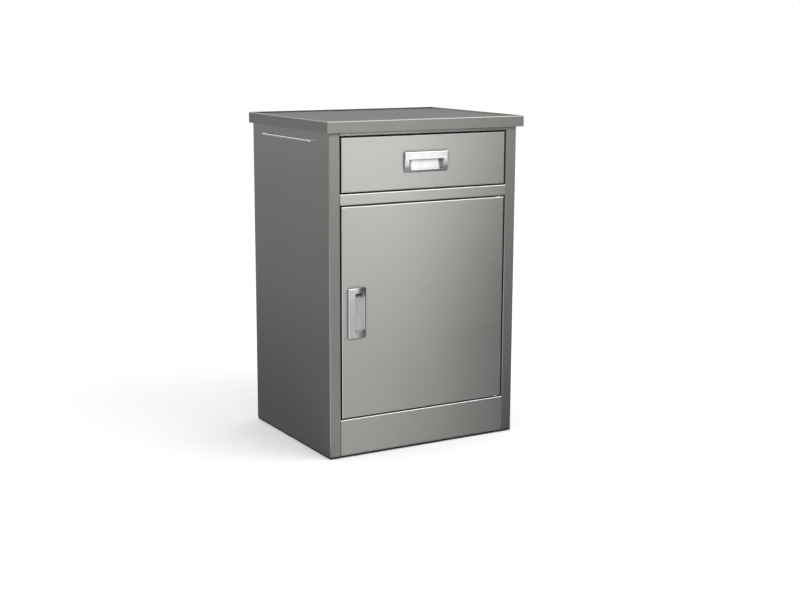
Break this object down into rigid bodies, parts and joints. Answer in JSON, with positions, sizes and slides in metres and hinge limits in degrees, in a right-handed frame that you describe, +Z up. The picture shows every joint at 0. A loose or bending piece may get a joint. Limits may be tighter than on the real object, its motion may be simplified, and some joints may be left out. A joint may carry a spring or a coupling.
{
  "type": "bedside cabinet",
  "caption": "Stainless steel ward bedside cabinet: a drawer on ball slides over a pivot-hung cupboard door, with flush pulls, a rimmed worktop and a side towel rail.",
  "frame": {"origin": "on the floor under the middle of the worktop", "axes": "+Z up, -Y towards the front of the cabinet, +X to the right as seen from the front"},
  "size_m": [0.505, 0.405, 0.75],
  "materials": {
    "brushed_stainless": "brushed stainless sheet with fine straight grain",
    "zinc_plate": "bright zinc-plated steel",
    "bright_chrome": "polished chrome plate",
    "nylon": "natural nylon",
    "rubber": "black rubber",
    "ferrite": "dull ferrite magnet",
    "black_oxide": "black-oxide steel"
  },
  "bodies": {
    "carcass": {"worktop": "brushed_stainless", "worktop_stiffeners": "zinc_plate", "left_side_panel": "brushed_stainless", "right_side_panel": "brushed_stainless", "back_panel": "brushed_stainless", "back_rivets": "zinc_plate", "rear_strips": "brushed_stainless", "fixing_angles": "zinc_plate", "top_rail": "brushed_stainless", "mid_rail": "brushed_stainless", "plinth": "brushed_stainless", "cupboard_floor": "brushed_stainless", "cupboard_shelf": "brushed_stainless", "shelf_clips": "zinc_plate", "left_runner_bracket": "zinc_plate", "right_runner_bracket": "zinc_plate", "left_slide_outer": "zinc_plate", "right_slide_outer": "zinc_plate", "upper_hinge_bracket": "black_oxide", "lower_hinge_bracket": "black_oxide", "upper_hinge_pin": "zinc_plate", "lower_hinge_pin": "zinc_plate", "catch_housing": "nylon", "catch_magnet": "ferrite", "door_bumpers": "rubber", "towel_rail": "bright_chrome", "foot_plates": "zinc_plate", "floor_pads": "rubber", "base_edging": "rubber"},
    "drawer": {"drawer_front": "brushed_stainless", "drawer_front_backing": "brushed_stainless", "drawer_tray": "brushed_stainless", "drawer_rivets": "zinc_plate", "drawer_pull": "bright_chrome", "left_slide_inner": "zinc_plate", "right_slide_inner": "zinc_plate"},
    "ball_cages": {"left_ball_cage": "zinc_plate", "right_ball_cage": "zinc_plate", "slide_balls": "bright_chrome"},
    "door": {"door_skin": "brushed_stainless", "door_inner_panel": "brushed_stainless", "door_stiffener": "zinc_plate", "door_pull": "bright_chrome", "strike_plate": "zinc_plate", "upper_hinge_bush": "nylon", "lower_hinge_bush": "nylon"}
  },
  "joints": [
    {"name": "drawer_slide", "type": "slide", "parent": "carcass", "child": "drawer", "axis": [0, -1, 0], "range_m": [0, 0.23]},
    {"name": "cage_slide", "type": "slide", "parent": "carcass", "child": "ball_cages", "axis": [0, -1, 0], "range_m": [0, 0.115]},
    {"name": "door_hinge", "type": "hinge", "parent": "carcass", "child": "door", "pos_m": [0.199, -0.1795, 0.3275], "axis": [0, 0, 1], "range_deg": [0, 110]}
  ],
  "couplings": [
    {"joint": "cage_slide", "follows": "drawer_slide", "ratio": 0.5}
  ]
}
